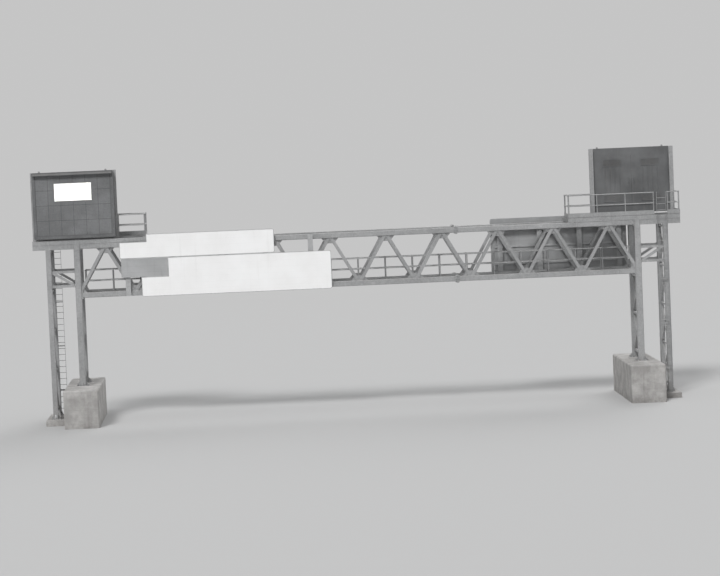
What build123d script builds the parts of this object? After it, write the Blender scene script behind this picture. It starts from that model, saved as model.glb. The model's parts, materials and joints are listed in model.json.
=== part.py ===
from build123d import *
import os

# Overhead sign gantry across two carriageways, in millimetres.
# X runs along the beam, Y along the road and Z up; the origin is at ground level midway between
# the towers. The left message sign faces -Y. Everything but the direction boards looks the same
# after a half turn about Z, so the right tower is the left one turned.

# Towers
leg_line = 13800.0  # main legs, from the middle of the span
leg_size = 300.0
corner_cut = 20.0  # flats at the corners of every hollow section
outer_line = 15200.0  # outer posts, from the middle of the span
post_size = 250.0
plinth_width = 1700.0
plinth_length = 7000.0
plinth_height = 1850.0
plinth_chamfer = 50.0
footing_width = 900.0
footing_length = 3500.0
footing_height = 250.0
shoe_size = 640.0
shoe_thickness = 40.0
rib_height = 220.0
rib_thickness = 25.0
post_shoe_size = 420.0
leg_brace = 120.0
leg_brace_panels = 2
leg_brace_margin = 150.0  # from the shoe and the beam to the outermost braces
post_brace = 80.0
post_brace_panels = 4
tie_size = 120.0
tie_levels = (6800.0, 7500.0)

# Beam
beam_width = 2200.0  # between the centres of the front and the back chords
beam_bottom = 6200.0
beam_depth = 2650.0
chord_size = 250.0
panels = 10
brace_size = 150.0
gusset_reach = 420.0  # along the chord, to each side of a joint
gusset_height = 260.0
gusset_thickness = 20.0
splice_line = 4830.0  # bolted joints of the beam, from the middle of the span
splice_size = 380.0
splice_thickness = 80.0  # the two flanges together
plan_brace = 120.0

# Walkway in the beam
walkway_width = 900.0
walkway_thickness = 40.0
end_margin = 150.0  # from the legs to the walkway, its rails and the trunking
rail_diameter = 48.0
rail_sides = 6
rail_height = 1100.0
stanchion_size = 50.0
stanchion_pitch = 1380.0
trunking_width = 200.0
trunking_depth = 100.0
trunking_gap = 80.0  # from the walkway to the trunking
lid_lip = 10.0

# Platforms under the message signs, from each sign's outer post
platform_reach = 1350.0  # past the sign's inner post
cantilever_depth = 250.0
cantilever_width = 200.0
frame_depth = 200.0
frame_bar = 150.0
deck_front = -450.0  # the side towards the sign
deck_thickness = 40.0
toe_height = 200.0
toe_thickness = 8.0

# Ladder
ladder_offset = 200.0  # from the outer posts towards the main legs
ladder_width = 450.0
ladder_stand_off = 200.0  # from the platform's edge to the middle of the stringers
stringer_width = 65.0
stringer_thickness = 14.0
rung_diameter = 24.0
rung_sides = 6
rung_pitch = 300.0
bracket_height = 50.0
bracket_thickness = 12.0
bracket_levels = (1500.0, 3700.0, 5900.0)
ladder_gate = 640.0  # gap in the guard rail

# Message signs
sign_offset = 50.0  # from the main legs outwards to the sign's middle
sign_width = 3960.0
sign_height = 3250.0
sign_depth = 700.0
sign_clearance = 100.0  # over the platform's frame
sign_front = 1350.0  # from the beam's centre plane to the casing's front
sign_corner = 40.0
bezel_width = 150.0
bezel_depth = 60.0
hood_reach = 180.0
hood_height = 90.0
hood_thickness = 25.0
lug_width = 90.0
lug_height = 70.0
lug_thickness = 16.0
lug_cut = 25.0
lug_hole = 32.0
lug_hole_sides = 8
lug_inset = 350.0  # from the casing's ends
display_width = 1820.0
display_height = 870.0
display_lift = 640.0  # from the sign's centre to the display's centre
door_height = 2500.0
door_thickness = 30.0
door_gap = 10.0
handle_width = 40.0
handle_height = 260.0
handle_depth = 35.0
sign_post_size = 200.0
sign_post_wall = 16.0
sign_post_reach = 120.0  # past the casing's ends
fit_clearance = 3.0  # around the face and the display

# Direction boards
board_post_width = 250.0
board_post_depth = 150.0
board_post_wall = 14.0
board_rail_height = 70.0
board_rail_depth = 60.0
board_thickness = 40.0
board_corner = 90.0
board_overlap = 200.0  # from a board's edge to the ends of its rails
upper_left, upper_right = -11700.0, -4130.0
lower_left, lower_right = -10680.0, -1370.0
lower_bottom, joint_level, upper_top = 6150.0, 8030.0, 9200.0
joint_gap = 20.0
notch_right, notch_bottom = -9360.0, 7100.0
plate_left = -11650.0
front_post_first, front_post_pitch, front_posts = -11350.0, 2250.0, 5
rear_left, rear_right = 6750.0, 13600.0
rear_bottom, rear_top = 6250.0, 9100.0
rear_post_first, rear_post_pitch, rear_posts = 7200.0, 2000.0, 4

# Worked out from the values above
beam_top = beam_bottom + beam_depth
truss_plane = beam_width / 2
chord_face = truss_plane + chord_size / 2
leg_face = leg_line - leg_size / 2
panel_length = 2 * leg_line / panels
bottom_line = beam_bottom + chord_size / 2
top_line = beam_top - chord_size / 2
walkway_level = bottom_line + plan_brace / 2
sign_centre = leg_line + sign_offset
sign_reach = sign_width / 2 + sign_post_reach  # from the sign's middle to the outer faces of its posts
platform_outer = sign_centre + sign_reach
platform_inner = sign_centre - sign_reach - platform_reach
platform_level = beam_top + frame_depth
ladder_line = outer_line - ladder_offset
sign_bottom = platform_level + sign_clearance
sign_back = sign_front - sign_depth
board_back = chord_face + board_post_depth + board_rail_depth

along_x, along_y, along_z = (1, 0, 0), (0, 1, 0), (0, 0, 1)


def block(x_low, x_high, y_low, y_high, z_low, z_high):
    """A box between two corners."""
    size = (x_high - x_low, y_high - y_low, z_high - z_low)
    return Pos(x_low, y_low, z_low) * Box(*size, align=Align.MIN)


def across_road(x, y, z):
    """Upright plane through a point, on which an outline is drawn as seen from the front."""
    return Plane(origin=(x, y, z), x_dir=along_x, z_dir=(0, -1, 0))


def bar(start, end, in_plane, across, normal):
    """A straight member of a flat lattice whose plane has this normal."""
    run = Vector(*end) - Vector(*start)
    plane = Plane(origin=start, x_dir=run, z_dir=normal)
    return plane * Box(run.length, in_plane, across, align=(Align.MIN, Align.CENTER, Align.CENTER))


def cut_square(size):
    """The outline of a square hollow section, with a flat for each round corner."""
    return chamfer(Rectangle(size, size).vertices(), corner_cut)


def column(x, y, z_low, z_high, size):
    """An upright square hollow section, closed at its ends."""
    return extrude(Pos(x, y, z_low) * cut_square(size), z_high - z_low)


def i_section(x, y, z_low, z_high, width, depth, wall):
    """An upright I section with its flanges across Y."""
    web = Rectangle(wall, depth)
    flanges = [Pos(0, side * (depth - wall) / 2) * Rectangle(width, wall) for side in (-1, 1)]
    return extrude(Pos(x, y, z_low) * (web + flanges), z_high - z_low)


def turned(shape):
    """The same shape on the other tower."""
    return Rot(0, 0, 180) * shape


def plinth():
    """Concrete block under the two main legs of the left tower."""
    whole = block(
        -leg_line - plinth_width / 2, -leg_line + plinth_width / 2,
        -plinth_length / 2, plinth_length / 2, 0, plinth_height,
    )
    sharp = whole.edges().group_by(Axis.Z)[-1] + whole.edges().filter_by(Axis.Z)
    return chamfer(sharp, plinth_chamfer)


def footing():
    """Low concrete strip under the outer posts of the left tower."""
    return block(
        -outer_line - footing_width / 2, -outer_line + footing_width / 2,
        -footing_length / 2, footing_length / 2, 0, footing_height,
    )


def shoe(x, y, z, size, post):
    """Base plate with a tapered rib on each side of the post."""
    plate = Pos(x, y, z) * Box(size, size, shoe_thickness, align=(Align.CENTER, Align.CENTER, Align.MIN))
    reach = (size - post) / 2
    outline = Polygon((0, 0), (reach, 0), (reach, rib_thickness), (0, rib_height), align=None)
    rib = extrude(Plane.XZ * Pos(post / 2, 0) * outline, rib_thickness / 2, both=True)
    place = Pos(x, y, z + shoe_thickness)
    return plate + [place * Rot(0, 0, turn) * rib for turn in (0, 90, 180, 270)]


def main_leg(y):
    """Main leg of the left tower, from its shoe on the plinth to the top of the beam."""
    shaft = column(-leg_line, y, plinth_height + shoe_thickness, beam_top, leg_size)
    return shaft + shoe(-leg_line, y, plinth_height, shoe_size, leg_size)


def cross_bracing(x, half_gap, z_low, z_high, count, size):
    """Crossed members and horizontals between two uprights, in the plane of this x."""
    step = (z_high - z_low) / count
    members = []
    for level in range(count + 1):
        z = z_low + level * step
        members.append(bar((x, -half_gap, z), (x, half_gap, z), size, size, along_x))
    for level in range(count):
        low, high = z_low + level * step, z_low + (level + 1) * step
        for side in (-1, 1):
            members.append(bar((x, -side * half_gap, low), (x, side * half_gap, high), size, size, along_x))
    room = block(x - size, x + size, -half_gap, half_gap, z_low - size, z_high + size)
    return (members[0] + members[1:]) & room


def leg_bracing():
    """Lattice between the front and the back leg, below the beam."""
    low = plinth_height + shoe_thickness + rib_height + leg_brace_margin
    high = beam_bottom - leg_brace_margin
    half_gap = truss_plane - leg_size / 2
    return cross_bracing(-leg_line, half_gap, low, high, leg_brace_panels, leg_brace)


def outer_frame():
    """The two outer posts with their shoes and the lattice between them."""
    top = beam_top - cantilever_depth
    half_gap = truss_plane - post_size / 2
    low = footing_height + shoe_thickness + rib_height + leg_brace_margin
    posts = [
        column(-outer_line, y, footing_height + shoe_thickness, top, post_size)
        + shoe(-outer_line, y, footing_height, post_shoe_size, post_size)
        for y in (-truss_plane, truss_plane)
    ]
    lattice = cross_bracing(-outer_line, half_gap, low, top - leg_brace_margin, post_brace_panels, post_brace)
    return lattice + posts


def tie_frames():
    """Two ties and a diagonal from each main leg to its outer post."""
    start, end = -leg_line - leg_size / 2, -outer_line + post_size / 2
    low, high = tie_levels
    sides = []
    for y in (-truss_plane, truss_plane):
        members = [
            bar((start, y, low), (end, y, low), tie_size, tie_size, along_y),
            bar((start, y, high), (end, y, high), tie_size, tie_size, along_y),
            bar((start, y, low), (end, y, high), tie_size, tie_size, along_y),
        ]
        room = block(end, start, y - tie_size, y + tie_size, low - tie_size, high + tie_size)
        sides.append((members[0] + members[1:]) & room)
    return sides[0] + sides[1]


def gusset(x, y, face, way):
    """Tapered plate in the truss's plane, on a chord's face and pointing up or down."""
    tip = gusset_reach / 2
    outline = Polygon(
        (-gusset_reach, 0), (gusset_reach, 0), (tip, way * gusset_height), (-tip, way * gusset_height),
        align=None,
    )
    return extrude(across_road(x, y, face) * outline, gusset_thickness / 2, both=True)


def splice(x, y, z):
    """Bolted flanges around a chord."""
    return Pos(x, y, z) * Box(splice_thickness, splice_size, splice_size)


def truss(y):
    """One side of the beam: two chords, a zigzag of braces, gussets and splice flanges."""
    section = Plane.YZ * cut_square(chord_size)
    chords = [extrude(Pos(0, y, z) * section, leg_line, both=True) for z in (bottom_line, top_line)]
    details = []
    for panel in range(panels):
        left = -leg_line + panel * panel_length
        foot, peak, next_foot = left, left + panel_length / 2, left + panel_length
        details.append(bar((foot, y, bottom_line), (peak, y, top_line), brace_size, brace_size, along_y))
        details.append(bar((peak, y, top_line), (next_foot, y, bottom_line), brace_size, brace_size, along_y))
        details.append(gusset(peak, y, beam_top - chord_size, -1))
    for joint in range(panels + 1):
        details.append(gusset(-leg_line + joint * panel_length, y, beam_bottom + chord_size, 1))
    for x in (-splice_line, splice_line):
        details += [splice(x, y, z) for z in (bottom_line, top_line)]
    room = block(
        -leg_face, leg_face, y - splice_size, y + splice_size,
        beam_bottom - splice_size, beam_top + splice_size,
    )
    return (chords[0] + chords[1:] + details) & room


def plan_bracing(z, joints):
    """Cross members at these joints and a zigzag between them, from chord to chord."""
    half_gap = truss_plane - chord_size / 2
    end_gap = truss_plane - leg_size / 2

    def member(x, next_x, y, next_y):
        return bar((x, y, z), (next_x, next_y, z), plan_brace, plan_brace, along_z)

    lines = [-leg_line] + joints + [leg_line]
    members = [member(x, x, -half_gap, half_gap) for x in joints]
    side = 1
    for x, next_x in zip(lines, lines[1:]):
        members.append(member(x, next_x, -side * half_gap, side * half_gap))
        side = -side
    inner = block(-leg_face, leg_face, -half_gap, half_gap, z - plan_brace, z + plan_brace)
    ends = [member(x, x, -end_gap, end_gap) for x in (-leg_line, leg_line)]
    reach = leg_line + leg_size
    between_legs = block(-reach, reach, -end_gap, end_gap, z - plan_brace, z + plan_brace)
    whole = members[0] + members[1:]
    return (whole & inner) + ends + (whole & between_legs)


def top_bracing():
    peaks = [-leg_line + (panel + 0.5) * panel_length for panel in range(panels)]
    return plan_bracing(top_line, peaks)


def bottom_bracing():
    feet = [-leg_line + joint * panel_length for joint in range(1, panels)]
    return plan_bracing(bottom_line, feet)


def walkway_deck():
    """Open steel floor along the inside of the beam."""
    end, edge = leg_face - end_margin, walkway_width / 2
    return block(-end, end, -edge, edge, walkway_level, walkway_level + walkway_thickness)


def rail(start, end):
    """A guard rail's tube from start to end, with a few flat sides and one of them level."""
    run = Vector(*end) - Vector(*start)
    section = RegularPolygon(rail_diameter / 2, rail_sides, major_radius=False, rotation=180 / rail_sides)
    return extrude(Plane(origin=start, x_dir=along_z, z_dir=run) * section, run.length)


def spread(first, last, pitch):
    """Evenly spaced values from first to last, about this pitch apart."""
    count = max(1, round(abs(last - first) / pitch))
    return [first + (last - first) * step / count for step in range(count + 1)]


def rail_run(start, end, floor):
    """A straight guard rail: two round rails on upright stanchions."""
    (x_start, y_start), (x_end, y_end) = start, end
    heights = (rail_height / 2, rail_height - rail_diameter / 2)
    rails = [rail((x_start, y_start, floor + up), (x_end, y_end, floor + up)) for up in heights]
    length = (Vector(x_end, y_end) - Vector(x_start, y_start)).length
    inset = stanchion_size / 2
    posts = []
    for along in spread(inset, length - inset, stanchion_pitch):
        x = x_start + (x_end - x_start) * along / length
        y = y_start + (y_end - y_start) * along / length
        posts.append(Pos(x, y, floor) * Box(
            stanchion_size, stanchion_size, rail_height, align=(Align.CENTER, Align.CENTER, Align.MIN)
        ))
    return posts[0] + posts[1:] + rails


def walkway_rails():
    """Guard rails along both edges of the walkway."""
    end = leg_face - end_margin
    edge = (walkway_width - stanchion_size) / 2
    floor = walkway_level + walkway_thickness
    return rail_run((-end, -edge), (end, -edge), floor) + rail_run((-end, edge), (end, edge), floor)


def cable_trunking():
    """Closed steel duct for the cables, on the cross members behind the walkway."""
    end = leg_face - end_margin
    start = walkway_width / 2 + trunking_gap
    far, lid_level = start + trunking_width, walkway_level + trunking_depth
    duct = block(-end, end, start, far, walkway_level, lid_level)
    lid = block(-end, end, start - lid_lip, far + lid_lip, lid_level, lid_level + lid_lip)
    return duct + lid


def cantilever():
    """Beams that carry the platform from the main legs out over the outer posts."""
    low, start = beam_top - cantilever_depth, -leg_line - leg_size / 2
    half = cantilever_width / 2
    inner = truss_plane - half
    lines = (-truss_plane, truss_plane)
    sides = [block(-platform_outer, start, y - half, y + half, low, beam_top) for y in lines]
    end = block(-platform_outer, -platform_outer + frame_bar, -inner, inner, low, beam_top)
    middle = block(-outer_line - frame_bar / 2, -outer_line + frame_bar / 2, -inner, inner, low, beam_top)
    return sides[0] + [sides[1], end, middle]


def sign_post_lines():
    """Where the two posts of the left message sign stand."""
    reach = sign_reach - sign_post_size / 2
    return (-sign_centre - reach, -sign_centre + reach)


def platform_frame():
    """Flat frame on the chords, legs and cantilevers, under the sign and the deck."""
    sides = [
        block(-platform_outer, -platform_inner, low, low + frame_bar, beam_top, platform_level)
        for low in (-chord_face, chord_face - frame_bar)
    ]
    half = sign_post_size / 2
    lines = [-platform_outer + frame_bar / 2, *sign_post_lines(), -leg_line, -platform_inner - frame_bar / 2]
    widths = [frame_bar / 2, half, half, frame_bar / 2, frame_bar / 2]
    inner = chord_face - frame_bar
    crosses = [block(x - w, x + w, -inner, inner, beam_top, platform_level) for x, w in zip(lines, widths)]
    return sides[0] + [sides[1], *crosses]


def platform_deck():
    """Steel floor behind the left message sign."""
    return block(
        -platform_outer, -platform_inner, deck_front, chord_face,
        platform_level, platform_level + deck_thickness,
    )


def guard_rail():
    """Guard rail and toe boards round the platform, open at the ladder."""
    floor = platform_level + deck_thickness
    inset = stanchion_size / 2 + toe_thickness
    back = chord_face - inset
    front = deck_front + inset
    outer, inner = -platform_outer + inset, -platform_inner - inset
    sign_end = -sign_centre + sign_reach
    gate = (-ladder_line - ladder_gate / 2, -ladder_line + ladder_gate / 2)
    runs = [
        rail_run((outer, front), (outer, back), floor),
        rail_run((outer, back), (gate[0], back), floor),
        rail_run((gate[1], back), (inner, back), floor),
        rail_run((inner, back), (inner, front), floor),
        rail_run((inner, front), (sign_end, front), floor),
    ]
    top = floor + toe_height
    boards = [
        block(-platform_outer, gate[0], chord_face - toe_thickness, chord_face, floor, top),
        block(gate[1], -platform_inner, chord_face - toe_thickness, chord_face, floor, top),
        block(-platform_outer, -platform_outer + toe_thickness, deck_front, chord_face, floor, top),
        block(-platform_inner - toe_thickness, -platform_inner, deck_front, chord_face, floor, top),
    ]
    return runs[0] + runs[1:] + boards


def ladder():
    """Stringers, rungs and wall brackets from the footing to the platform."""
    plane = chord_face + ladder_stand_off
    top = platform_level + deck_thickness + rail_height
    half, thick = ladder_width / 2, stringer_thickness / 2
    flat, near = plane - stringer_width / 2, plane + stringer_width / 2
    stringers = [
        block(x - thick, x + thick, flat, near, footing_height, top)
        for x in (-ladder_line - half, -ladder_line + half)
    ]
    section = Plane.YZ * RegularPolygon(rung_diameter / 2, rung_sides)
    rungs = [
        extrude(Pos(-ladder_line, plane, z) * section, half, both=True)
        for z in spread(footing_height + rung_pitch, top - rung_pitch, rung_pitch)
    ]
    brackets = []
    for z in bracket_levels:
        low, high = z - bracket_height / 2, z + bracket_height / 2
        left, right = -ladder_line - half - thick, -ladder_line + half + thick
        brackets.append(block(left, right, flat - bracket_thickness, flat, low, high))
        brackets.append(block(left, left + bracket_height, truss_plane + post_size / 2, flat, low, high))
    low, high = platform_level - frame_depth / 2 - bracket_height, platform_level - frame_depth / 2
    for x in (-ladder_line - half, -ladder_line + half):
        brackets.append(block(x - bracket_thickness, x + bracket_thickness, chord_face, flat, low, high))
    return stringers[0] + [stringers[1], *rungs, *brackets]


def message_posts():
    """The two I section posts behind the left message sign."""
    y, size = -sign_back + sign_post_size / 2, sign_post_size
    top = sign_bottom + sign_height
    posts = [i_section(x, y, platform_level, top, size, size, sign_post_wall) for x in sign_post_lines()]
    return posts[0] + posts[1]


def lifting_lug(x, y, z):
    """Plate with cut corners and an eye, for lifting the casing."""
    whole = Rectangle(lug_width, lug_height, align=(Align.CENTER, Align.MIN))
    plate = chamfer(whole.vertices().group_by(Axis.Y)[-1], lug_cut)
    eye = Pos(0, lug_height / 2) * RegularPolygon(lug_hole / 2, lug_hole_sides)
    return extrude(across_road(x, y, z) * (plate - eye), lug_thickness / 2, both=True)


def message_casing():
    """Sheet metal housing with a hood over its front, a recess for the face and two lugs on its roof."""
    left, right = -sign_centre - sign_width / 2, -sign_centre + sign_width / 2
    top = sign_bottom + sign_height
    whole = block(left, right, -sign_front, -sign_back, sign_bottom, top)
    whole = fillet(whole.edges().filter_by(Axis.Y), sign_corner)
    recess = block(
        left + bezel_width, right - bezel_width, -sign_front, -sign_front + bezel_depth,
        sign_bottom + bezel_width, top - bezel_width,
    )
    slope = Polygon(
        (0, 0), (0, -hood_thickness),
        (-hood_reach, -hood_height - hood_thickness), (-hood_reach, -hood_height),
        align=None,
    )
    side = Plane(origin=(left + sign_corner, -sign_front, top - sign_corner), x_dir=along_y, z_dir=along_x)
    hood = extrude(side * slope, sign_width - 2 * sign_corner, dir=along_x)
    middle = -(sign_front + sign_back) / 2
    lugs = [lifting_lug(x, middle, top) for x in (left + lug_inset, right - lug_inset)]
    return whole - recess + [hood, *lugs]


def display_window(margin):
    """Where the lit display stands in the face, smaller by this margin on each side."""
    centre = sign_bottom + sign_height / 2 + display_lift
    half_width, half_height = display_width / 2 - margin, display_height / 2 - margin
    return (
        -sign_centre - half_width, -sign_centre + half_width,
        -sign_front, -sign_front + bezel_depth,
        centre - half_height, centre + half_height,
    )


def message_face():
    """Black front panel in the casing's recess, with the window for the lit display."""
    reach = sign_width / 2 - bezel_width - fit_clearance
    inset = bezel_width + fit_clearance
    panel = block(
        -sign_centre - reach, -sign_centre + reach,
        -sign_front + bezel_depth / 2, -sign_front + bezel_depth,
        sign_bottom + inset, sign_bottom + sign_height - inset,
    )
    return panel - block(*display_window(0))


def message_display():
    """Lit panel that stands in the window of the face."""
    return block(*display_window(fit_clearance))


def message_doors():
    """Two doors on the casing's back, each with an upright handle."""
    inner_post = sign_reach - sign_post_size - door_gap
    middle = sign_bottom + sign_height / 2
    low, high = middle - door_height / 2, middle + door_height / 2
    face = -sign_back + door_thickness
    doors = []
    for way in (-1, 1):
        near, far = sorted((-sign_centre + way * door_gap / 2, -sign_centre + way * inner_post))
        leaf = block(near, far, -sign_back, face, low, high)
        x = -sign_centre + way * (door_gap / 2 + 3 * handle_width)
        grip = block(
            x - handle_width / 2, x + handle_width / 2, face, face + handle_depth,
            middle - handle_height / 2, middle + handle_height / 2,
        )
        doors.append(leaf + grip)
    return doors[0] + doors[1]


def board(left, right, bottom, top, side):
    """Flat board with round corners, in front of the beam for side -1 and behind it for 1."""
    near = side * board_back
    outline = Plane.XZ * Pos((left + right) / 2, (bottom + top) / 2) * RectangleRounded(
        right - left, top - bottom, board_corner
    )
    return extrude(Pos(0, near, 0) * outline, board_thickness, dir=(0, side, 0))


def platform_room():
    """Room that the upper board and its frame leave in front of the left platform's end."""
    return block(
        upper_left - board_overlap, -platform_inner + joint_gap, -board_back - board_thickness, -chord_face,
        beam_top - joint_gap, upper_top + board_overlap,
    )


def upper_board():
    """The upper board, with a notch at its upper left for the platform."""
    return board(upper_left, upper_right, joint_level + joint_gap / 2, upper_top, -1) - platform_room()


def lower_board():
    """The lower board, with a notch at its upper left for the blank plate."""
    whole = board(lower_left, lower_right, lower_bottom, joint_level - joint_gap / 2, -1)
    notch = block(
        lower_left, notch_right, -board_back - board_thickness, -board_back,
        notch_bottom, joint_level,
    )
    return whole - notch


def blank_plate():
    """Plain plate that fills the notch and stands out to the left of the lower board."""
    return block(
        plate_left, notch_right - joint_gap, -board_back - board_thickness, -board_back,
        notch_bottom + joint_gap, joint_level - joint_gap / 2,
    )


def board_frame(side, posts, rails):
    """Posts on the beam's face, each with its place and top, and the boards' level rails on them."""
    y = side * (chord_face + board_post_depth / 2)
    section = (board_post_width, board_post_depth, board_post_wall)
    uprights = [i_section(x, y, beam_bottom, top, *section) for x, top in posts]
    near, far = sorted((side * (chord_face + board_post_depth), side * board_back))
    levels = [
        block(left, right, near, far, z - board_rail_height / 2, z + board_rail_height / 2)
        for left, right, z in rails
    ]
    return uprights[0] + uprights[1:] + levels


def rail_levels(bottom, top, count):
    """Heights of a board's rails, the outer ones a fifth of its height from its edges."""
    margin = (top - bottom) / 5
    return [bottom + margin + (top - bottom - 2 * margin) * step / (count - 1) for step in range(count)]


def front_board_frame():
    """The frame of the two front boards; a post beyond the upper board ends at the beam's top."""
    lines = [front_post_first + front_post_pitch * step for step in range(front_posts)]
    posts = [(x, upper_top - board_overlap if x < upper_right else beam_top) for x in lines]
    ends = (lower_left + board_overlap, lower_right - board_overlap)
    rails = [
        (upper_left + board_overlap, upper_right - board_overlap, z)
        for z in rail_levels(joint_level, upper_top, 2)
    ]
    rails += [(plate_left + board_overlap, ends[1], z) for z in rail_levels(notch_bottom, joint_level, 2)]
    rails.append((*ends, (lower_bottom + notch_bottom) / 2))
    return board_frame(-1, posts, rails) - platform_room()


def rear_board_frame():
    posts = [(rear_post_first + rear_post_pitch * step, beam_top) for step in range(rear_posts)]
    ends = (rear_left + board_overlap, rear_right - board_overlap)
    rails = [(*ends, z) for z in rail_levels(rear_bottom, rear_top, 3)]
    return board_frame(1, posts, rails)


def tower_nodes():
    """The pieces that each tower has, as the left tower has them."""
    return {
        "plinth": plinth(),
        "front_leg": main_leg(-truss_plane),
        "back_leg": main_leg(truss_plane),
        "leg_bracing": leg_bracing(),
        "outer_footing": footing(),
        "outer_frame": outer_frame(),
        "tie_frames": tie_frames(),
        "cantilever": cantilever(),
        "platform_frame": platform_frame(),
        "platform_deck": platform_deck(),
        "guard_rail": guard_rail(),
        "ladder": ladder(),
        "message_posts": message_posts(),
        "message_casing": message_casing(),
        "message_face": message_face(),
        "message_display": message_display(),
        "message_doors": message_doors(),
    }


def turned_name(name):
    """On the turned tower, front and back change places."""
    return {"front_leg": "back_leg", "back_leg": "front_leg"}.get(name, name)


def beam_nodes():
    """The pieces of the beam and the direction boards."""
    return {
        "front_truss": truss(-truss_plane),
        "back_truss": truss(truss_plane),
        "top_bracing": top_bracing(),
        "bottom_bracing": bottom_bracing(),
        "walkway_deck": walkway_deck(),
        "walkway_rails": walkway_rails(),
        "cable_trunking": cable_trunking(),
        "upper_board": upper_board(),
        "lower_board": lower_board(),
        "blank_plate": blank_plate(),
        "rear_board": board(rear_left, rear_right, rear_bottom, rear_top, 1),
        "front_board_frame": front_board_frame(),
        "rear_board_frame": rear_board_frame(),
    }


def save(name, shape):
    shape.label = name
    export_step(shape, f"parts/{name}.step")


os.makedirs("parts", exist_ok=True)
for name, shape in tower_nodes().items():
    save(f"left_{name}", shape)
    save(f"right_{turned_name(name)}", turned(shape))
for name, shape in beam_nodes().items():
    save(name, shape)
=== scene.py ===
from functools import cached_property
import json
import math

import bpy
import numpy as np
from mathutils import Matrix, Vector


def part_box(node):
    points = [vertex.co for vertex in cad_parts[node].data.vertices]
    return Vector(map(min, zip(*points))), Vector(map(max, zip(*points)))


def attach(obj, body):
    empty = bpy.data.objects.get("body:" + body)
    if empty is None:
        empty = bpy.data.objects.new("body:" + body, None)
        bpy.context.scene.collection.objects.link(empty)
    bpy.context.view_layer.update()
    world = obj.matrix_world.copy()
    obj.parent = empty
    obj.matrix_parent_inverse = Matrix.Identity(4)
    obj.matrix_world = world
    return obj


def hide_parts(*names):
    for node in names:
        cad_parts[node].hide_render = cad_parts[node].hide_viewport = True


# Looks of the overhead sign gantry, in metres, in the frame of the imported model.
# X runs along the beam, Y along the road away from the left sign's face, Z up.

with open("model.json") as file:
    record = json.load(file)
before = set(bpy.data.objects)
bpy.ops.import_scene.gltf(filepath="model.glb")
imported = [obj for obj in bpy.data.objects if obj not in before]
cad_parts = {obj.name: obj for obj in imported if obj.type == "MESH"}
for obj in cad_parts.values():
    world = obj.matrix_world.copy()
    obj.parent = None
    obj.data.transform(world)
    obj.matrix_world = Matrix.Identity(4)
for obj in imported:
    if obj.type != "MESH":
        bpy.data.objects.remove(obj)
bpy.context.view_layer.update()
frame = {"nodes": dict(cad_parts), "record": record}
nodes = frame["nodes"]
print("frame loaded,", len(nodes), "nodes")


# Forms: points and faces worked out as whole arrays

class Form:  # points, and faces as arrays that each hold faces of one number of corners
    def __init__(self, points, faces):
        self.points = np.asarray(points, float).reshape(-1, 3)
        self.faces = [np.asarray(group, int) for group in faces]

    def turned(self):  # half turn about Z, as the right tower has it
        return Form(self.points * (-1, -1, 1), self.faces)


def joined(*forms):
    # one form from several, each one's corner numbers raised by the points before it
    starts = np.cumsum([0] + [len(form.points) for form in forms])
    faces = [group + start for form, start in zip(forms, starts) for group in form.faces]
    return Form(np.vstack([form.points for form in forms]), faces)


def joinedPairs(pairs):
    # all the first forms as one form, and all the second ones as another
    return [joined(*forms) for forms in zip(*pairs)]


def repeated(form, places, axes=None):
    # copies of a form at these places; axes holds, for each copy, where its x, y and z units go
    places = np.asarray(places, float).reshape(-1, 3)
    points = np.broadcast_to(form.points, (len(places), *form.points.shape))
    if axes is not None:
        points = np.einsum("vk,nkj->nvj", form.points, np.broadcast_to(axes, (len(places), 3, 3)))
    steps = np.arange(len(places))[:, None, None] * len(form.points)
    faces = [(group[None] + steps).reshape(-1, group.shape[1]) for group in form.faces]
    return Form(points + places[:, None], faces)


def skinned(rings, endless=False):
    # walls between rings of points that follow each other, with a flat face on the first and the last;
    # an endless form's last ring is joined to its first instead
    rings = np.asarray(rings, float)
    levels, count = rings.shape[:2]
    ring, starts = np.arange(count), np.arange(levels) * count
    after = np.roll(ring, -1)
    walls = [
        np.column_stack([ring + low, after + low, after + high, ring + high])
        for low, high in zip(starts, np.roll(starts, -1))
    ]
    if endless:
        return Form(rings, [np.concatenate(walls)])
    return Form(rings, [np.concatenate(walls[:-1]), ring[::-1][None], (ring + starts[-1])[None]])


def revolved(profile, sides):
    # rings of (radius, height) about z: x = r cos a, y = r sin a
    angle = 2 * np.pi * np.arange(sides) / sides
    radius, height = np.array(profile, float).T[:, :, None]
    return skinned(np.stack([radius * np.cos(angle), radius * np.sin(angle), height + 0 * angle], axis=-1))


def extruded(outline, origin, axis, length):
    # an anticlockwise outline in the two axes that follow this one, carried straight along this one
    flat = np.roll(np.insert(np.asarray(outline, float), 0, 0, axis=1), axis, axis=1) + origin
    return skinned([flat, flat + np.eye(3)[axis] * length])


squareRing = np.array([(0, 0), (1, 0), (1, 1), (0, 1)])
unitBox = extruded(squareRing, (0, 0, 0), 2, 1)


def boxes(corners, opposite):
    # upright boxes between opposite corners in any order: a unit box, as long as the corners differ
    first, second = (np.asarray(corner, float).reshape(-1, 3) for corner in (corners, opposite))
    sizes = np.abs(second - first)
    return repeated(unitBox, np.minimum(first, second), sizes[:, :, None] * np.eye(3))


def slab(centre, size):
    # one or more boxes by centre and size
    centre, half = np.asarray(centre, float), np.asarray(size, float) / 2
    return boxes(centre - half, centre + half)


def facing(directions):
    # for each direction, the axes that turn a form made along z to point that way
    way = np.asarray(directions, float).reshape(-1, 3)
    helper = np.where(np.abs(way[:, 2:]) > 0.9, (1.0, 0.0, 0.0), (0.0, 0.0, 1.0))
    across = np.cross(helper, way)
    across /= np.linalg.norm(across, axis=1)[:, None]
    return np.stack([across, np.cross(way, across), way], axis=1)


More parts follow.
